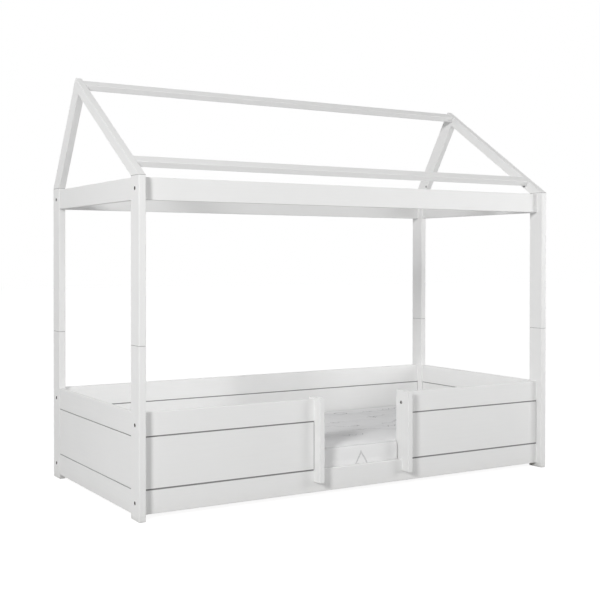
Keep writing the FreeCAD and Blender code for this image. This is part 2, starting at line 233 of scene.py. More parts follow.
# ---- effects shared by several finishes ----
class Effects:
    """The shared effects, each a node group that is built once."""

    def __init__(self) -> None:
        """Builds the groups."""
        self.skin = self._skin()
        self.dust = self._dust()
        self.joint = self._joint()
        self.bore = self._bore()
        self.grain = self._grain()
        self.weave = self._weave()

    @staticmethod
    def _skin() -> Tree:
        """A sprayed coat over sanded board: slow drift, fine sanding lines, and spray dimples.

        Returns:
            The group.
        """
        g, ins, outs = new_group("sprayed_skin", ("Tone", "Gloss", "Height"), Along=NOWHERE, Plain=NOWHERE,
                                 Lines=160.0, Dimples=420.0, Dimple_Share=0.5)
        lines = g.noise(ins["Along"], ins["Lines"], 4.0, 0.55)
        drift = g.noise(ins["Plain"], 1.7, 2.0, 0.5)
        cloud = g.noise(ins["Plain"], 9.0, 3.0, 0.6)
        dimples = g.noise(ins["Plain"], ins["Dimples"], 1.0, 0.4)
        g.feed(outs["Tone"], g.scaled(cloud, 0.25, g.scaled(lines, 0.30, g.times(drift, 0.45))))
        g.feed(outs["Gloss"], g.scaled(cloud, 0.6, g.times(lines, 0.4)))
        g.feed(outs["Height"], g.scaled(lines, 0.5, g.times(dimples, ins["Dimple Share"])))
        return g.tree

    @staticmethod
    def _dust() -> Tree:
        """Dust and scuffs that fade out upwards from the floor, broken up by noise.

        Returns:
            The group; its Mask is 1 where the surface is dusty.
        """
        g, ins, outs = new_group("floor_dust", ("Mask",), Place=NOWHERE, Reach=0.10)
        height = g.parts(ins["Place"])[2]
        fade = g.most(g.less(1.0, g.maths("DIVIDE", height, ins["Reach"])), 0.0)
        g.feed(outs["Mask"], g.times(fade, fade, g.noise(ins["Place"], 24.0, 4.0, 0.6)))
        return g.tree

    @staticmethod
    def _joint() -> Tree:
        """Painted shade in the joints, on the flanks of a V groove: the distance to the nearest of six
        limiting planes is stepped at the joint's width, and a stretch along X can be kept clear.

        Returns:
            The group; its Mask is 1 in the joint.
        """
        g, ins, outs = new_group("joint_shade", ("Mask",), Place=NOWHERE, Low=(-FAR,) * 3, High=(FAR,) * 3,
                                 Width=0.002, Clear_Middle=0.0, Clear_Half=-1.0)
        up = g.vector("SUBTRACT", ins["Place"], ins["Low"])
        down = g.vector("SUBTRACT", ins["High"], ins["Place"])
        near = g.least(*g.parts(g.vector("MINIMUM", up, down)))
        line = g.ramp(g.maths("DIVIDE", near, ins["Width"]), 1.0, 0.45)
        away = g.apart(g.parts(ins["Place"])[0], ins["Clear Middle"])
        g.feed(outs["Mask"], g.times(line, g.maths("GREATER_THAN", away, ins["Clear Half"])))
        return g.tree

    @staticmethod
    def _bore() -> Tree:
        """Painted shade on the walls of two bores along X, each given by its centre.

        Returns:
            The group; its Mask is 1 inside the bores.
        """
        beside = (0.0, FAR, FAR)
        g, ins, outs = new_group("bore_shade", ("Mask",), Place=NOWHERE, Bore_1=beside, Bore_2=beside,
                                 Radius=0.007)
        flat = g.vector("MULTIPLY", ins["Place"], (0.0, 1.0, 1.0))
        near = g.least(*(g.vector("DISTANCE", flat, ins[name]) for name in ("Bore 1", "Bore 2")))
        g.feed(outs["Mask"], g.ramp(g.less(near, ins["Radius"]), 0.0006, 0.0001))
        return g.tree

    @staticmethod
    def _grain() -> Tree:
        """Grain of sawn softwood or beech: growth bands bent by noise, fine fibres, and knots.

        Returns:
            The group; Band, Fibre and Knot are masks from 0 to 1, Height is for a bump.
        """
        g, ins, outs = new_group("sawn_grain", ("Band", "Fibre", "Knot", "Height"), Along=NOWHERE,
                                 Plain=NOWHERE, Bands=55.0, Fibres=420.0)
        bend = g.noise(ins["Along"], 14.0, 2.0, 0.5)
        feeds = {"Vector": ins["Along"], "Scale": ins["Bands"], "Distortion": 5.0, "Detail": 2.0,
                 "Detail Scale": 0.8}
        rings = g.node("ShaderNodeTexWave", feeds, wave_type="RINGS", rings_direction="Y")
        fibre = g.noise(ins["Along"], ins["Fibres"], 3.0, 0.6)
        cells = g.node("ShaderNodeTexVoronoi", {"Vector": ins["Plain"], "Scale": 3.1})
        band = g.scaled(rings.outputs["Fac"], 0.65, g.times(bend, 0.35))
        g.feed(outs["Band"], band)
        g.feed(outs["Fibre"], fibre)
        g.feed(outs["Knot"], g.ramp(cells.outputs["Distance"], 0.045, 0.02))
        g.feed(outs["Height"], g.scaled(fibre, 0.7, g.times(band, 0.3)))
        return g.tree

    @staticmethod
    def _weave() -> Tree:
        """A plain weave on a flat map in metres: threads over and under, with uneven yarn.

        Returns:
            The group; Thread is the height of the crossing threads and Yarn their unevenness.
        """
        g, ins, outs = new_group("cover_weave", ("Thread", "Yarn"), Map=NOWHERE, Threads=620.0)
        turn = g.times(ins["Threads"], math.pi)
        warp, weft = (g.maths("SINE", g.times(way, turn)) for way in g.parts(ins["Map"])[:2])
        g.feed(outs["Thread"], g.scaled(g.times(warp, weft), 0.5, 0.5))
        g.feed(outs["Yarn"], g.noise(ins["Map"], 260.0, 3.0, 0.6))
        return g.tree


# ---- finishes ----
class Run(Enum):
    """The way a board's length lies: the turn that brings it onto X, in degrees (X, Y, Z)."""

    ALONG = (0.0, 0.0, 0.0)
    ACROSS = (0.0, 0.0, -90.0)
    UPRIGHT = (0.0, 90.0, 0.0)
    FRONT_SLOPE = (-33.2, 0.0, -90.0)
    REAR_SLOPE = (56.9, 0.0, -90.0)


@dataclass(frozen=True)
class Finish:
    """What every finish has: a base colour, a roughness and a bump depth in metres."""

    name: str
    colour: Rgb
    rough: float = 0.4
    bump: float = 0.0002

    def start(self, lot: Optional[int] = None, **plain: float) -> Graph:
        """Starts a node material.

        Args:
            lot: the board's number, for the material's name.
            plain: numbers on the shader's own sockets; an underscore stands for a space.
        Returns:
            Its graph, with the Principled BSDF.
        """
        made = bpy.data.materials.new(self.name if lot is None else "%s_%02d" % (self.name, lot))
        made.diffuse_color = (*self.colour, 1.0)
        g = fresh(made)
        g.shader = g.node("ShaderNodeBsdfPrincipled", {name.replace("_", " "): plain[name] for name in plain})
        g.node("ShaderNodeOutputMaterial", {"Surface": g.shader.outputs[0]})
        return g

    @staticmethod
    def place(g: Graph, run: Run, stretch: float, lot: int = 0) -> Tuple[Socket, Socket]:
        """Object coordinates, plain and drawn out along a board.

        Args:
            g: the material's graph.
            run: the board's way.
            stretch: how far the pattern is drawn out along it.
            lot: the board's number, which moves the pattern.
        Returns:
            Both coordinates.
        """
        where = g.node("ShaderNodeTexCoord").outputs["Object"]
        turned = g.mapped(where, Rotation=tuple(math.radians(a) for a in run.value),
                          Location=(3.7 * lot, 0.31 * lot, 0.53 * lot))
        return where, g.mapped(turned, Scale=(1.0 / stretch, 1.0, 1.0))

    def coat(self, g: Graph, layers: Sequence[Tuple[Any, Rgb]], rough: Any, height: Any,
             strength: float) -> Material:
        """Lays colours over the base colour and feeds the shader.

        Args:
            g: the material's graph.
            layers: the mask and the colour of each.
            rough: the roughness.
            height: the bump's height, 0 to 1.
            strength: the bump's strength.
        Returns:
            The material.
        """
        colour = reduce(lambda under, layer: g.blend(layer[0], under, layer[1]), layers, self.colour)
        bump = g.node("ShaderNodeBump", {"Strength": strength, "Distance": self.bump, "Height": height})
        for name, value in (("Base Color", colour), ("Roughness", rough), ("Normal", bump.outputs[0])):
            g.feed(g.shader.inputs[name], value)
        return g.owner


@dataclass(frozen=True)
class Joints:
    """Where one board is shaded: the planes where its grooved edges end, and its bores. The
    clear stretch, middle and half length along X, is the entrance, where a rail lies open."""

    low: Point
    high: Point
    width: float
    clear: Pair
    bores: Tuple[Point, ...]


@dataclass(frozen=True)
class Lacquer(Finish):
    """White satin lacquer sprayed on board and pine."""

    shade: Rgb = (0.70, 0.70, 0.69)
    dusty: Rgb = (0.62, 0.60, 0.56)
    # The colour below is painted shade in the grooves and at the seams of posts and rafters.
    seam: Rgb = (0.20, 0.20, 0.20)
    # The colour below is painted shade on the walls of the bolts' bores.
    painted_bore_shade: Rgb = (0.085, 0.08, 0.075)
    drift: float = 0.16
    stretch: float = 28.0
    dust_reach: float = 0.09

    def build(self, effects: Effects, run: Run, lot: int, joints: Joints) -> Material:
        """Makes the lacquer of one board.

        Args:
            effects: the shared effects.
            run: the board's way.
            lot: its number.
            joints: its grooves and bores.
        Returns:
            The material.
        """
        g = self.start(lot, IOR=1.48, Specular_IOR_Level=0.45)
        plain, along = self.place(g, run, self.stretch, lot)
        skin = g.group(effects.skin, Along=along, Plain=plain)
        dust = g.group(effects.dust, Place=plain, Reach=self.dust_reach)["Mask"]
        line = g.group(effects.joint, Place=plain, Low=joints.low, High=joints.high, Width=joints.width,
                       Clear_Middle=joints.clear[0], Clear_Half=joints.clear[1])["Mask"]
        # Painted shade: the joint mask darkens the grooves and seams.
        layers = [(g.times(g.ramp(skin["Tone"], 0.30, 0.72), self.drift), self.shade),
                  (g.times(dust, 0.35), self.dusty), (g.times(line, 0.93), self.seam)]
        # Painted shade on the walls of the bolts' bores.
        if joints.bores:
            places = {"Bore_%d" % i: bore for i, bore in enumerate(joints.bores, 1)}
            layers.append((g.group(effects.bore, Place=plain, **places)["Mask"], self.painted_bore_shade))
        rough = g.scaled(dust, 0.25, g.scaled(skin["Gloss"], 0.14, self.rough - 0.07))
        return self.coat(g, layers, rough, skin["Height"], 0.35)


@dataclass(frozen=True)
class SawnWood(Finish):
    """Planed wood without a coat, for slats, battens, dowels and pins."""

    late: Rgb = (0.60, 0.43, 0.26)
    knot: Rgb = (0.24, 0.13, 0.06)
    bands: float = 60.0
    stretch: float = 16.0

    def build(self, effects: Effects, run: Run, lot: int) -> Material:
        """Makes the wood of one piece.

        Args:
            effects: the shared effects.
            run: the piece's way.
            lot: its number.
        Returns:
            The material.
        """
        g = self.start(lot)
        plain, along = self.place(g, run, self.stretch, lot)
        grain = g.group(effects.grain, Along=along, Plain=plain, Bands=self.bands)
        layers = ((g.times(g.ramp(grain["Band"], 0.35, 0.95), 0.55), self.late),
                  (g.times(g.ramp(grain["Fibre"], 0.5, 0.8), 0.18), self.late),
                  (g.times(grain["Knot"], 0.75), self.knot))
        return self.coat(g, layers, g.scaled(grain["Fibre"], 0.2, self.rough - 0.1), grain["Height"], 0.6)


@dataclass(frozen=True)
class PlatedSteel(Finish):
    """Zinc plated steel of bolts, nuts and screws, with a mottled bloom and turning marks."""

    bloom: Rgb = (0.34, 0.34, 0.33)
    stretch: float = 0.2

    def build(self, effects: Effects) -> Material:
        """Makes the plating.

        Args:
            effects: the shared effects.
        Returns:
            The material.
        """
        g = self.start(Metallic=1.0)
        plain, along = self.place(g, Run.ALONG, self.stretch)
        skin = g.group(effects.skin, Along=along, Plain=plain, Lines=900.0, Dimples=1400.0)
        mottle = g.noise(plain, 340.0, 3.0, 0.6)
        layers = ((g.ramp(mottle, 0.35, 0.7), self.bloom),)
        return self.coat(g, layers, g.scaled(mottle, 0.25, self.rough - 0.1), skin["Height"], 0.4)


@dataclass(frozen=True)
class MouldedPlastic(Finish):
    """Moulded plastic of glides and plugs: fine texture, and scuffs where it meets the floor."""

    scuffed: Rgb = (0.55, 0.54, 0.52)
    dust_reach: float = 0.02

    def build(self, effects: Effects) -> Material:
        """Makes the plastic.

        Args:
            effects: the shared effects.
        Returns:
            The material.
        """
        g = self.start()
        plain, _ = self.place(g, Run.ALONG, 1.0)
        dust = g.group(effects.dust, Place=plain, Reach=self.dust_reach)["Mask"]
        streak = g.noise(plain, 60.0, 3.0, 0.6)
        worn = g.times(g.ramp(streak, 0.4, 0.75), 0.18)
        layers = ((worn, self.scuffed), (g.times(dust, 0.8), self.scuffed))
        mould = g.noise(plain, 1900.0, 2.0, 0.5)
        return self.coat(g, layers, g.scaled(streak, 0.12, self.rough), mould, 0.5)


@dataclass(frozen=True)
class HillRow:
    """One printed row of hills: the crest's height, pace and phase, its place up the map, and
    how deep and how strong the wash below it is."""

    height: float
    pace: float
    phase: float
    level: float
    fade: float
    share: float


@dataclass(frozen=True)
class CoverCloth(Finish):
    """White woven mattress cover with a faint print: washes of hills on the top panel, and
    thinly drawn crests, tents, peaks, rings and crosses. The marks' sizes are shares of a
    cell, and a metre holds so many cells."""

    border: Rgb = (0.86, 0.86, 0.86)
    wash: Rgb = (0.60, 0.60, 0.61)
    ink: Rgb = (0.26, 0.26, 0.27)
    soil: Rgb = (0.66, 0.66, 0.66)
    cells: float = 3.3
    tent: float = 0.06
    ring: float = 0.10
    arm: float = 0.10
    tooth: float = 0.06
    teeth: float = 0.17
    pen: Pair = (0.0145, 0.0080)
    rows: Tuple[HillRow, ...] = (
        HillRow(0.085, 5.2, 0.9, -0.24, 0.085, 0.40), HillRow(0.06, 8.3, 2.1, -0.03, 0.10, 0.30),
        HillRow(0.10, 3.7, 4.0, 0.17, 0.16, 0.38), HillRow(0.07, 6.1, 1.4, 0.36, 0.16, 0.46))

    def _hills(self, g: Graph, where: Any) -> Tuple[Socket, Socket]:
        """Rows of rolling hills. A row's crest is y = a sin(w x + p) + c, made jagged by noise;
        below it a wash fades with exp(-depth / fade), and along it runs a broken thin line.

        Args:
            g: the material's graph.
            where: the flat map.
        Returns:
            The wash and the line, each from 0 to 1.
        """
        x, y, _ = g.parts(where)
        ragged = g.scaled(g.noise(where, 11.0, 5.0, 0.6), 0.13, -0.065)
        washes: List[Socket] = []
        lines: List[Socket] = []
        for row in self.rows:
            crest = g.scaled(g.maths("SINE", g.scaled(x, row.pace, row.phase)), row.height, row.level)
            depth = g.less(g.maths("ADD", crest, ragged), y)
            fall = g.maths("EXPONENT", g.times(g.most(depth, 0.0), -1.0 / row.fade))
            washes.append(g.times(g.ramp(depth, -0.004, 0.006), fall, row.share))
            lines.append(g.maths("ABSOLUTE", depth))
        broken = g.ramp(g.noise(where, 6.5, 2.0, 0.5), 0.47, 0.56)
        blot = g.ramp(g.noise(where, 17.0, 4.0, 0.65), 0.15, 0.8)
        return g.times(g.most(*washes), blot), g.times(g.ramp(g.least(*lines), 0.0042, 0.0022), broken)

    def _marks(self, g: Graph, where: Any) -> Socket:
        """Tents, rows of peaks, rings and crosses, one in each cell of a scattered grid, w wide:
        a tent |max(0.87|x| + 0.5 y, -y) - r| < w, peaks |y - a tri(x)| < w inside |x| < r, a ring
        | |p| - r | < w, and a cross min(|x|, |y|) < w inside |x|, |y| < r.

        Args:
            g: the material's graph.
            where: the flat map.
        Returns:
            A mask that is 1 on the lines.
        """
        wobble = g.node("ShaderNodeTexNoise", {"Vector": where, "Scale": 38.0}).outputs["Color"]
        shaken = g.vector("ADD", where, g.vector("SCALE", wobble, 0.012))
        feeds = {"Vector": shaken, "Scale": self.cells, "Randomness": 0.55}
        cell = g.node("ShaderNodeTexVoronoi", feeds, voronoi_dimensions="2D").outputs
        across, up, _ = g.parts(g.vector("SCALE", g.vector("SUBTRACT", shaken, cell["Position"]), self.cells))
        x, y = g.maths("ABSOLUTE", across), g.maths("ABSOLUTE", up)
        kind = g.node("ShaderNodeSeparateColor", {0: cell["Color"]}).outputs[0]
        side = g.maths("ADD", g.times(x, 0.87), g.times(up, 0.5))
        shape = g.apart(g.most(side, g.times(up, -1.0)), self.tent)
        saw = g.scaled(g.maths("PINGPONG", across, self.tooth), 1.5, -0.75 * self.tooth)
        peaks = g.most(g.apart(up, saw), g.less(x, self.teeth))
        ring = g.apart(cell["Distance"], self.ring)
        cross = g.most(g.least(x, y), g.less(g.most(x, y), self.arm))
        for start, other in ((0.30, peaks), (0.62, ring), (0.82, cross)):
            shape = g.choose(g.maths("GREATER_THAN", kind, start), shape, other)
        return g.ramp(shape, *self.pen)

    def build(self, effects: Effects) -> Material:
        """Makes the cover.

        Args:
            effects: the shared effects.
        Returns:
            The material.
        """
        g = self.start(Sheen_Weight=0.12, Sheen_Roughness=0.5, Specular_IOR_Level=0.2)
        where = g.cover_map()
        top = g.node("ShaderNodeAttribute", attribute_name=TOP_PANEL).outputs["Fac"]
        weave = g.group(effects.weave, Map=where)
        wash, crest = self._hills(g, where)
        fade = g.times(g.scaled(g.noise(where, 90.0, 2.0, 0.7), 0.7, 0.20), g.scaled(top, 0.25, 0.75))
        drawn = g.most(self._marks(g, where), g.times(crest, top))
        layers = ((wash, self.wash), (g.less(1.0, top), self.border), (g.times(drawn, fade), self.ink),
                  (g.times(g.ramp(weave["Yarn"], 0.3, 0.8), 0.06), self.wash),
                  (g.times(g.noise(where, 5.0, 3.0, 0.5), 0.08), self.soil))
        height = g.scaled(weave["Thread"], 0.6, g.times(weave["Yarn"], 0.4))
        return self.coat(g, layers, g.scaled(weave["Yarn"], 0.1, self.rough), height, 0.5)


@dataclass(frozen=True)
class PipingCloth(Finish):
    """Bias tape of the welts: the cover's cloth with threads on the slant."""

    dark: Rgb = (0.581, 0.581, 0.581)
    slant: float = 45.0
    threads: float = 760.0

    def build(self, effects: Effects) -> Material:
        """Makes the tape.

        Args:
            effects: the shared effects.
        Returns:
            The material.
        """
        g = self.start()
        turned = g.mapped(g.cover_map(), Rotation=(0.0, 0.0, math.radians(self.slant)))
        weave = g.group(effects.weave, Map=turned, Threads=self.threads)
        layers = ((g.times(weave["Yarn"], 0.5), self.dark),)
        return self.coat(g, layers, g.scaled(weave["Yarn"], 0.1, self.rough), weave["Thread"], 0.5)


# ---- surfaces worked out as arrays ----
def rounded_outline(corners: Array, radii: Array, pitch: float) -> Array:
    """A closed plan line through rounded corners, walked at an even pitch. At a corner P with
    unit directions a and b to its neighbours, half angle h and m the unit vector between them, the
    round of radius r runs from P + a r / tan(h) to P + b r / tan(h) about P + m r / sin(h).

    Args:
        corners: (n, 2) corners in order.
        radii: (n,) radius at each.
        pitch: the wanted step.
    Returns:
        (k, 2) points, the last one pitch before the first.
    """
    back = np.roll(corners, 1, axis=0) - corners
    on = np.roll(corners, -1, axis=0) - corners
    back, on = unit(back), unit(on)
    half = np.arccos(np.clip((back * on).sum(axis=1), -1.0, 1.0)) / 2.0
    centre = corners + unit(back + on) * (radii / np.sin(half))[:, None]
    first = corners + back * (radii / np.tan(half))[:, None] - centre
    last = corners + on * (radii / np.tan(half))[:, None] - centre
    start = np.arctan2(first[:, 1], first[:, 0])
    sweep = (np.arctan2(last[:, 1], last[:, 0]) - start + math.pi) % (2.0 * math.pi) - math.pi
    angle = start[:, None] + sweep[:, None] * np.linspace(0.0, 1.0, ARC_POINTS)[None, :]
    arcs = centre[:, None, :] + radii[:, None, None] * np.stack((np.cos(angle), np.sin(angle)), axis=2)
    line = arcs.reshape(-1, 2)
    shut = np.vstack((line, line[:1]))
    length = lengths(shut)
    count = int(round(length[-1] / pitch))
    at = np.arange(count) * length[-1] / count
    return np.stack((np.interp(at, length, shut[:, 0]), np.interp(at, length, shut[:, 1])), axis=1)


def unit(ways: Array) -> Array:
    """Vectors of length 1."""
    return ways / np.linalg.norm(ways, axis=1, keepdims=True)


def lengths(line: Array) -> Array:
    """How far along a line each of its points lies."""
    return np.concatenate(([0.0], np.cumsum(np.linalg.norm(np.diff(line, axis=0), axis=1))))


def side_ways(line: Array) -> Array:
    """Unit normals of a closed plan line, to the right of its run, from central differences."""
    step = unit(np.roll(line, -1, axis=0) - np.roll(line, 1, axis=0))
    return np.stack((step[:, 1], -step[:, 0]), axis=1)


def closed_tube(line: Array, out: Array, radius: Array, around: int
                ) -> Tuple[Array, Array, Array]:
    """A tube along a closed line: p(i, t) = line(i) + radius(i) (out(i) cos t + z sin t).

    Args:
        line: (n, 3) points.
        out: (n, 2) unit normals in plan.
        radius: (n,) radius at each.
        around: points round the tube.
    Returns:
        Points, quads, and metres along and round at each point.
    """
    n = len(line)
    turn = np.arange(around) * 2.0 * math.pi / around
    ring = np.zeros((n, around, 3))
    ring[:, :, :2] = out[:, None, :] * np.cos(turn)[None, :, None]
    ring[:, :, 2] = np.sin(turn)
    points = (line[:, None, :] + ring * radius[:, None, None]).reshape(-1, 3)
    i, j = np.meshgrid(np.arange(n), np.arange(around), indexing="ij")
    i2, j2 = (i + 1) % n, (j + 1) % around
    quads = np.stack([a * around + b for a, b in ((i, j), (i2, j), (i2, j2), (i, j2))], axis=2)
    chart = np.stack((np.repeat(lengths(line), around), np.tile(turn * float(radius.mean()), n)), axis=1)
    return points, quads.reshape(-1, 4), chart


def read(items: Any, name: str, wide: int = 1, kind: Any = float) -> Array:
    """One property of a mesh's points, corners or faces.

    Args:
        items: these.
        name: the property.
        wide: its numbers for each.
        kind: their type.
    Returns:
        (n,) or (n, wide) numbers.
    """
    got = np.empty(len(items) * wide, dtype=kind)
    items.foreach_get(name, got)
    return got if wide == 1 else got.reshape(-1, wide)


def normals(mesh: Mesh) -> Array:
    """The mesh's point normals as an (n, 3) array."""
    return read(mesh.vertex_normals, "vector", 3)


def move_points(mesh: Mesh, points: Array) -> None:
    """Puts the mesh's points in new places."""
    mesh.vertices.foreach_set("co", points.ravel())
    mesh.update()


def smooth(mesh: Mesh) -> None:
    """Shades all faces smooth."""
    mesh.polygons.foreach_set("use_smooth", np.ones(len(mesh.polygons), dtype=bool))


def lay_chart(mesh: Mesh, values: Array) -> None:
    """Writes the flat map from (n, 2) metres at the mesh's face corners."""
    layer = mesh.uv_layers.new(name=COVER_MAP)
    layer.data.foreach_set("uv", values.astype(np.float32).ravel())


def set_in_scene(name: str, data: Any) -> Thing:
    """Makes an object of a mesh, lamp or camera and links it to the scene."""
    made = bpy.data.objects.new(name, data)
    bpy.context.scene.collection.objects.link(made)
    return made


def mesh_piece(name: str, points: Array, quads: Array, chart: Optional[Array] = None) -> Thing:
    """Puts arrays into a new object at the origin, smooth shaded.

    Args:
        name: its name.
        points: (n, 3) places.
        quads: (m, 4) point numbers.
        chart: (n, 2) values of the flat map.
    Returns:
        The object.
    """
    mesh = bpy.data.meshes.new(name)
    mesh.from_pydata(points.tolist(), [], quads.tolist())
    smooth(mesh)
    if chart is not None:
        lay_chart(mesh, chart[read(mesh.loops, "vertex_index", kind=np.int32)])
    mesh.update()
    return set_in_scene(name, mesh)


# ---- the parts that keep their solids ----
@dataclass
class TimberWork:
    """Every rigid part of the bed. Their solids are kept; this gives each its finish."""

    effects: Effects
    lacquer: Lacquer = Lacquer("white_lacquer", (0.86, 0.86, 0.855), 0.42, 0.00012)
    slat: SawnWood = SawnWood("slat_wood", (0.80, 0.66, 0.46), 0.62, 0.0004)
    dowel: SawnWood = SawnWood("dowel_wood", (0.66, 0.49, 0.31), 0.58, 0.0003, bands=140.0)
    bolt: PlatedSteel = PlatedSteel("bolt_steel", (0.46, 0.46, 0.45), 0.36, 0.0001)
    nut: PlatedSteel = PlatedSteel("nut_steel", (0.50, 0.50, 0.48), 0.40, 0.0001)
    glide: MouldedPlastic = MouldedPlastic("glide_plastic", (0.84, 0.84, 0.83), 0.5, 0.0001)
    plug: MouldedPlastic = MouldedPlastic("plug_plastic", (0.30, 0.30, 0.30), 0.45, 0.0001)
    # Widths of the painted shade along the grooves and at the seams of posts and rafters.
    groove: float = 0.0030
    end_groove: float = 0.0025
    rail_groove: float = 0.0045
    guard_groove: float = 0.0042
    seam: float = 0.0011
    entrance: Pair = (-0.003, 0.242)
    front_bolts: float = -0.455
    rear_bolts: float = 0.467
    low_bolt: float = 0.0665
    middle_bolt: float = 0.3615
    high_bolt: float = 1.2555

    @staticmethod
    def run_of(name: str) -> Run:
        """The way that a board's length lies.

        Args:
            name: its node.
        Returns:
            The run.
        """
        if "post" in name:
            return Run.UPRIGHT
        if name.startswith("rafter"):
            return Run.FRONT_SLOPE if name.endswith("front") else Run.REAR_SLOPE
        if name.startswith(("end_", "slat_")) and "batten" not in name:
            return Run.ACROSS
        return Run.ACROSS if name in ("upper_left_rail", "upper_right_rail") else Run.ALONG

    def joints_of(self, name: str) -> Joints:
        """Where painted shade lies on one node: its grooves and bores. A panel is grooved on all four
        borders, a rail where it meets one, and the posts are parted at half height and under the rafters.

        Args:
            name: the node.
        Returns:
            The planes and the bores.
        """
        low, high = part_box(name)
        below, above = [-FAR] * 3, [FAR] * 3
        width = self.groove
        bores: Tuple[Point, ...] = ()
        if name.startswith("end_"):
            width = self.end_groove
        elif name.startswith("front_"):
            width = self.rail_groove
        if name.endswith("_panel"):
            for axis in (1 if name.startswith("end_") else 0, 2):
                below[axis], above[axis] = low[axis], high[axis]
            if name.startswith("guard_"):
                width = self.guard_groove
        elif name.endswith("_top_rail"):
            below[2] = low[2]
        elif name.endswith("_bottom_rail"):
            above[2] = high[2]
        elif name.startswith("rafter"):
            below[2], width = low[2], self.seam
        elif "post" in name:
            width = self.seam
            heights: Tuple[float, ...] = (self.middle_bolt,)
            if name.startswith("lower"):
                above[2], heights = high[2], (self.low_bolt, self.middle_bolt)
            elif name.startswith("upper"):
                below[2], above[2], heights = low[2], high[2], (self.high_bolt,)
            y = self.rear_bolts if name.endswith("rear") else self.front_bolts
            bores = tuple((0.0, y, z) for z in heights)
        clear = self.entrance if name == "front_bottom_rail" else (0.0, -1.0)
        return Joints(tuple(below), tuple(above), width, clear, bores)

    def material(self, name: str, lot: int) -> Material:
        """The finish of one node of timber.

        Args:
            name: the node.
            lot: its number, which moves its grain.
        Returns:
            The material.
        """
        if name in ("wood_dowels", "post_pins"):
            return self.dowel.build(self.effects, Run.UPRIGHT, 0)
        if name.startswith("slat_"):
            return self.slat.build(self.effects, self.run_of(name), lot)
        return self.lacquer.build(self.effects, self.run_of(name), lot, self.joints_of(name))

    def dress(self, nodes: Dict[str, Thing]) -> None:
        """Gives each rigid node its material.

        Args:
            nodes: the frame's nodes by name.
        """
        hardware: Dict[str, Any] = {"corner_bolts": self.bolt, "slat_screws": self.bolt,
                                    "barrel_nuts": self.nut, "rafter_plugs": self.plug}
        shared = {kind: kind.build(self.effects) for kind in (self.nut, self.bolt, self.glide, self.plug)}
        for lot, name in enumerate(sorted(nodes)):
            if name == MattressCover.NODE:
                continue
            piece, kind = nodes[name], self.glide if name.startswith("foot_") else hardware.get(name)
            finish = shared[kind] if kind else self.material(name, lot)
            if not piece.material_slots:
                piece.data.materials.append(finish)
            for place in piece.material_slots:
                place.material = finish
            LOG.info("dressed %s with %s", name, finish.name)


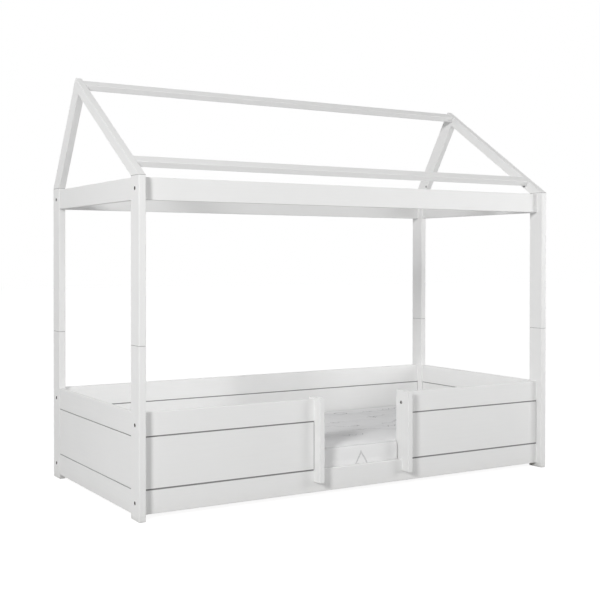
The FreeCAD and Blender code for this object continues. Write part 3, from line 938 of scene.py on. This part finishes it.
# ---- the mattress ----
@dataclass
class MattressCover:
    """The foam mattress in its sewn cover: a filled body and a welt along both rims. A seam has
    its height from the rim and its inset from the outline."""

    NODE = "mattress"
    CLOTH = {"quality": 5, "mass": 0.3, "tension_stiffness": 18.0, "compression_stiffness": 18.0,
             "shear_stiffness": 8.0, "bending_stiffness": 0.6, "use_pressure": True,
             "uniform_pressure_force": 4.0, "vertex_group_mass": "seams"}
    effects: Effects
    cloth: CoverCloth = CoverCloth("mattress_cover", (0.90, 0.90, 0.905), 0.86, 0.0006)
    tape: PipingCloth = PipingCloth("cover_welt", (0.83, 0.83, 0.83), 0.82, 0.0003)
    half_length: float = 0.9995
    front: float = -0.4435
    rear: float = 0.4555
    base: float = 0.0804
    thick: float = 0.120
    crown: float = 0.005
    corner: float = 0.045
    post_left: Pair = (-0.242, 0.212)
    post_thick: float = 0.024
    post_reach: float = -0.416
    post_corners: Tuple[float, ...] = (0.008, 0.004, 0.004, 0.008)
    play: float = 0.003
    post_rub: float = 0.002
    eased_over: float = 0.012
    least_free: float = 0.15
    inset: float = 0.0042
    voxel: float = 0.011
    cap: float = 0.0038
    frames: int = 20
    upper_seam: Pair = (0.0065, 0.008)
    lower_seam: Pair = (0.005, 0.006)
    held_over: float = 0.012
    swell: float = 0.0016
    pucker: float = 0.0015
    pucker_step: float = 0.034
    pucker_reach: float = 0.018
    pucker_inset: float = 0.010
    welt: float = 0.0024
    welt_upper: float = 0.0100
    welt_lower: float = 0.0072
    welt_pitch: float = 0.0035
    welt_around: int = 10
    stitch: float = 0.007
    stitch_depth: float = 0.10
    border_shift: float = 0.62

    def outline(self, inset: float, pitch: float) -> Tuple[Array, Array]:
        """The cover's plan line and its outward normals.

        Args:
            inset: how far inside the mattress's own outline it runs.
            pitch: the step along it.
        Returns:
            Points and unit normals.
        """
        x, y0, y1 = self.half_length, self.front, self.rear
        plan = [(-x, y1), (-x, y0)]
        radii = [self.corner] * 2
        for low in self.post_left:
            left, right = low - self.play, low + self.post_thick + self.play
            plan += [(left, y0), (left, self.post_reach), (right, self.post_reach), (right, y0)]
            radii += self.post_corners
        plan, radii = plan + [(x, y0), (x, y1)], radii + [self.corner] * 2
        line = rounded_outline(np.array(plan), np.array(radii), pitch)
        out = side_ways(line)
        return line - out * inset, out

    def dome(self, y: Array) -> Array:
        """Height of the crowned top over y: a flat arc, crown (1 - ((y - m) / w)^2) over the rim."""
        middle, half = (self.front + self.rear) / 2.0, (self.rear - self.front) / 2.0
        return self.base + self.thick + self.crown * (1.0 - ((y - middle) / half) ** 2)

    def body(self, solid: Thing) -> Thing:
        """The filled cover, from a copy of the solid drawn in a little and blown up as cloth.

        Args:
            solid: the mattress's node.
        Returns:
            The piece, with its simulation applied.
        """
        mesh = solid.data.copy()
        mesh.name = "cover_body"
        mesh.materials.clear()
        whole = bmesh.new()
        whole.from_mesh(mesh)
        bmesh.ops.remove_doubles(whole, verts=whole.verts, dist=0.00002)
        bmesh.ops.recalc_face_normals(whole, faces=whole.faces)
        whole.to_mesh(mesh)
        whole.free()
        made = set_in_scene("cover_body", mesh)
        step = made.modifiers.new("even", "REMESH")
        step.mode, step.voxel_size = "VOXEL", self.voxel
        self.apply_modifiers(made)
        start = read(made.data.vertices, "co", 3)
        free = self.clear_of_posts(start)
        start = start - normals(made.data) * (self.inset * free)[:, None]
        move_points(made.data, start)
        held = self.seam_share(start)
        self.inflate(made, held)
        move = read(made.data.vertices, "co", 3) - start
        far = np.linalg.norm(move, axis=1)
        most = self.cap * free * (1.0 - held)
        start = start + move * (np.minimum(far, most) / np.maximum(far, 1e-9))[:, None]
        move_points(made.data, self.settle(start, normals(made.data)))
        made.modifiers.new("smooth", "SUBSURF").levels = 1
        self.apply_modifiers(made)
        smooth(made.data)
        self.chart(made.data)
        return made

    @staticmethod
    def apply_modifiers(made: Thing) -> None:
        """Applies a piece's modifiers to its mesh.

        Args:
            made: the piece.
        """
        graph = bpy.context.evaluated_depsgraph_get()
        done = bpy.data.meshes.new_from_object(made.evaluated_get(graph), depsgraph=graph)
        made.modifiers.clear()
        made.vertex_groups.clear()
        made.data = done

    def seams(self, points: Array) -> Tuple[Array, Array]:
        """Heights of the upper seam over points, and of points over the lower seam."""
        up = self.dome(points[:, 1]) - self.upper_seam[0] - points[:, 2]
        return up, points[:, 2] - self.base - self.lower_seam[0]

    def seam_share(self, points: Array) -> Array:
        """How firmly the seams hold each point: exp(-(d / held_over)^2), d from the nearer seam.

        Args:
            points: the body's points.
        Returns:
            A share from 0 to 1 for each.
        """
        up, down = self.seams(points)
        edge = self.rim_distance(points)
        up = np.hypot(up, np.maximum(edge - self.upper_seam[1], 0.0))
        down = np.hypot(down, np.maximum(edge - self.lower_seam[1], 0.0))
        return np.exp(-(np.minimum(up, down) / self.held_over) ** 2)

    def clear_of_posts(self, points: Array) -> Array:
        """How freely the cover is drawn in and filled: 1, but less beside the entrance posts,
        where the foam lies close.

        Args:
            points: the body's points.
        Returns:
            A share for each.
        """
        x, y = points[:, 0], points[:, 1]
        share = np.ones(len(points))
        for low in self.post_left:
            aside = np.maximum(np.maximum(low - x, x - low - self.post_thick), 0.0)
            gap = np.hypot(aside, np.maximum(y - self.post_reach, 0.0))
            freed = (gap - self.play - self.post_rub) / self.eased_over
            share = np.minimum(share, np.clip(freed, self.least_free, 1.0))
        return share

    def rim_distance(self, points: Array) -> Array:
        """Distance in plan from the nearest point of the mattress's outline.

        Args:
            points: places to measure.
        Returns:
            The distances in metres.
        """
        line, _ = self.outline(0.0, 0.012)
        best = np.full(len(points), FAR)
        for part in np.array_split(line, 24):
            gap = np.hypot(points[:, 0, None] - part[None, :, 0], points[:, 1, None] - part[None, :, 1])
            best = np.minimum(best, gap.min(axis=1))
        return best

    def inflate(self, made: Thing, held: Array) -> None:
        """Blows the cover up as cloth, the seams held back.

        Args:
            made: the piece.
            held: the share by which each point is held.
        """
        pins = made.vertex_groups.new(name="seams")
        levels = np.round(held, 1)
        for level in np.unique(levels[levels > 0.0]):
            pins.add(np.flatnonzero(levels == level).tolist(), float(level), "REPLACE")
        cloth = made.modifiers.new("filled", "CLOTH")
        for name, value in self.CLOTH.items():
            setattr(cloth.settings, name, value)
        cloth.settings.effector_weights.gravity = 0.0
        cloth.collision_settings.use_collision = False
        cloth.point_cache.frame_start, cloth.point_cache.frame_end = 1, self.frames
        for frame_number in range(1, self.frames + 1):
            bpy.context.scene.frame_set(frame_number)
        self.apply_modifiers(made)
        bpy.context.scene.frame_set(1)

    def settle(self, points: Array, out: Array) -> Array:
        """Lets the cover relax inwards: slow swells, a sum of sines, mainly on top, and puckers
        sin^2(pi s / step + 2 sin(3.1 s)) exp(-d / reach) at a distance d from a seam, where
        s = x + y runs along a side.

        Args:
            points: the body's points.
            out: their normals.
        Returns:
            The moved points.
        """
        x, y, _ = points.T
        swell = 0.5 + 0.25 * np.sin(5.1 * x + 1.0) + 0.25 * np.sin(9.7 * y - 4.3 * x)
        run = x + y
        rim = np.minimum(*np.abs(self.seams(points)))
        inward = np.maximum(self.rim_distance(points) - self.pucker_inset, 0.0)
        near = np.exp(-np.hypot(rim, inward) / self.pucker_reach)
        pucker = np.sin(math.pi * run / self.pucker_step + 2.0 * np.sin(3.1 * run)) ** 2 * near
        top = np.clip(out[:, 2], 0.0, 1.0)
        return points - out * (self.swell * swell * (0.35 + 0.65 * top) + self.pucker * pucker)[:, None]

    def chart(self, mesh: Mesh) -> None:
        """Writes the cover's flat map in metres, seen from above or, on the border, from the
        side, and each point's share in the top panel.

        Args:
            mesh: the finished body.
        """
        face_out = np.abs(read(mesh.polygons, "normal", 3))
        main = np.repeat(face_out.argmax(axis=1), read(mesh.polygons, "loop_total", kind=np.int32))
        at = read(mesh.vertices, "co", 3)[read(mesh.loops, "vertex_index", kind=np.int32)]
        u = np.where(main == 0, at[:, 1], at[:, 0])
        v = np.where(main == 2, at[:, 1], at[:, 2] - self.border_shift)
        lay_chart(mesh, np.stack((u, v), axis=1))
        share = np.clip((normals(mesh)[:, 2] - 0.55) / 0.2, 0.0, 1.0)
        tone = mesh.attributes.new(TOP_PANEL, "FLOAT", "POINT")
        tone.data.foreach_set("value", share.astype(np.float32))

    def rim_welt(self, name: str, upper: bool) -> Thing:
        """A welt round the whole cover at one rim, its tape drawn in at every stitch: radius
        r (1 - depth cos^8(pi s / stitch)) at length s.

        Args:
            name: the piece's name.
            upper: the top rim, or the bottom one.
        Returns:
            The piece.
        """
        sunk = self.welt_upper if upper else self.welt_lower
        line, out = self.outline(sunk, self.welt_pitch)
        z = self.dome(line[:, 1]) - sunk if upper else np.full(len(line), self.base + sunk)
        gone = np.arange(len(line)) * self.welt_pitch
        radius = self.welt * (1.0 - self.stitch_depth * np.cos(math.pi * gone / self.stitch) ** 8)
        return mesh_piece(name, *closed_tube(np.column_stack((line, z)), out, radius, self.welt_around))

    def build(self, solid: Thing) -> None:
        """Makes the body and its welts, dresses them and sets them on the mattress's body.

        Args:
            solid: the mattress's node, which they replace.
        """
        body = self.body(solid)
        body.data.materials.append(self.cloth.build(self.effects))
        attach(body, "mattress")
        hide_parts(self.NODE)
        LOG.info("mattress body: %d faces", len(body.data.polygons))
        tape = self.tape.build(self.effects)
        for name, upper in (("cover_welt_upper", True), ("cover_welt_lower", False)):
            piece = self.rim_welt(name, upper)
            piece.data.materials.append(tape)
            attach(piece, "mattress")
            LOG.info("%s: %d faces", name, len(piece.data.polygons))


# ---- studio ----
@dataclass(frozen=True)
class SoftLamp:
    """A square soft lamp: where it stands, the length of its side in metres, and its watts."""

    name: str
    place: Point
    size: float
    power: float

    def build(self, aim: Point) -> None:
        """Sets the lamp up.

        Args:
            aim: the point it faces.
        """
        data = bpy.data.lights.new(self.name, "AREA")
        data.shape, data.size, data.energy = "SQUARE", self.size, self.power
        made = set_in_scene(self.name, data)
        made.location = self.place
        made.rotation_euler = (Vector(aim) - Vector(self.place)).to_track_quat("-Z", "Y").to_euler()


@dataclass
class Studio:
    """A pale floor, a plain world, soft lamps and the camera at the photograph's place. The key
    lamp throws the posts' soft shadows. A wall of light has an axis, a side and a strength."""

    floor_colour: Rgb = (0.25, 0.25, 0.25)
    floor_lift: float = 0.92
    floor_half: float = 30.0
    fill: float = 0.10
    walls: Tuple[Tuple[int, float, float], ...] = ((0, -1.0, 0.36), (0, 1.0, 0.62), (1, 1.0, 1.70))
    lamps: Tuple[SoftLamp, ...] = (
        SoftLamp("key", (-5.9, -4.5, 3.3), 1.4, 326.0), SoftLamp("fellow", (3.4, -3.1, 1.3), 1.7, 53.0),
        SoftLamp("front", (-0.6, -4.4, 1.6), 1.8, 30.0), SoftLamp("overhead", (0.0, 0.0, 4.6), 3.0, 9.0))
    lamp_aim: Point = (0.0, 0.0, 0.8)
    place: Point = (-2.5559, -4.1681, 0.9903)
    yaw: float = 31.20
    pitch: float = -0.61
    roll: float = 0.06
    lens: float = 63.163
    shift: float = -0.05

    def floor(self) -> None:
        """A broad floor, lifted to white for the camera where no shadow lies."""
        corners = np.array([[-1.0, -1.0, 0.0], [1.0, -1.0, 0.0], [1.0, 1.0, 0.0], [-1.0, 1.0, 0.0]])
        made = mesh_piece("studio_floor", corners * self.floor_half, np.array([[0, 1, 2, 3]]))
        look = bpy.data.materials.new("studio_floor")
        g = fresh(look)
        matt = g.node("ShaderNodeBsdfDiffuse", {"Color": self.floor_colour})
        glow = g.node("ShaderNodeEmission", {"Strength": g.times(g.sees_white(), self.floor_lift)})
        both = g.node("ShaderNodeAddShader", {0: matt.outputs[0], 1: glow.outputs[0]})
        g.node("ShaderNodeOutputMaterial", {"Surface": both.outputs[0]})
        made.data.materials.append(look)

    def world(self) -> None:
        """A plain world: white to the camera and in gloss, and as light a dim fill with soft
        walls, each share * max(0, d) (1 - |z|) for a direction's part d towards it."""
        made = bpy.data.worlds.new("studio_world")
        bpy.context.scene.world = made
        g = fresh(made)
        ways = g.parts(g.node("ShaderNodeTexCoord").outputs["Generated"])
        level = g.less(1.0, g.maths("ABSOLUTE", ways[2]))
        light: Any = self.fill
        for axis, way, share in self.walls:
            light = g.scaled(g.times(g.most(g.times(ways[axis], way), 0.0), level), share, light)
        seen = g.sees_white()
        strength = g.scaled(light, g.less(1.0, seen), seen)
        back = g.node("ShaderNodeBackground", {"Color": (1.0, 1.0, 1.0), "Strength": strength})
        g.node("ShaderNodeOutputWorld", {"Surface": back.outputs[0]})

    def camera(self) -> None:
        """The camera, turned by yaw from +Y towards +X, tipped by pitch, and rolled."""
        data = bpy.data.cameras.new("camera")
        data.sensor_width, data.lens, data.shift_y = 36.0, self.lens, self.shift
        data.clip_start, data.clip_end = 0.05, 200.0
        made = set_in_scene("camera", data)
        turn = (Matrix.Rotation(math.radians(-self.yaw), 4, "Z")
                @ Matrix.Rotation(math.radians(90.0 + self.pitch), 4, "X")
                @ Matrix.Rotation(math.radians(self.roll), 4, "Z"))
        made.matrix_world = Matrix.Translation(self.place) @ turn
        bpy.context.scene.camera = made

    def build(self) -> None:
        """Sets the whole studio."""
        self.floor()
        self.world()
        for lamp in self.lamps:
            lamp.build(self.lamp_aim)
        self.camera()
        bpy.context.scene.view_settings.view_transform = "Standard"
        LOG.info("studio set")


def write_sizes() -> None:
    """Updates the view layer."""
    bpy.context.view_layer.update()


def main() -> None:
    """Builds the looks of the bed in order."""
    logging.basicConfig(level=logging.INFO, format="%(name)s: %(message)s")
    effects = Effects()
    nodes = frame["nodes"]
    TimberWork(effects).dress(nodes)
    MattressCover(effects).build(nodes[MattressCover.NODE])
    Studio().build()
    write_sizes()


if __name__ == "__main__":
    main()
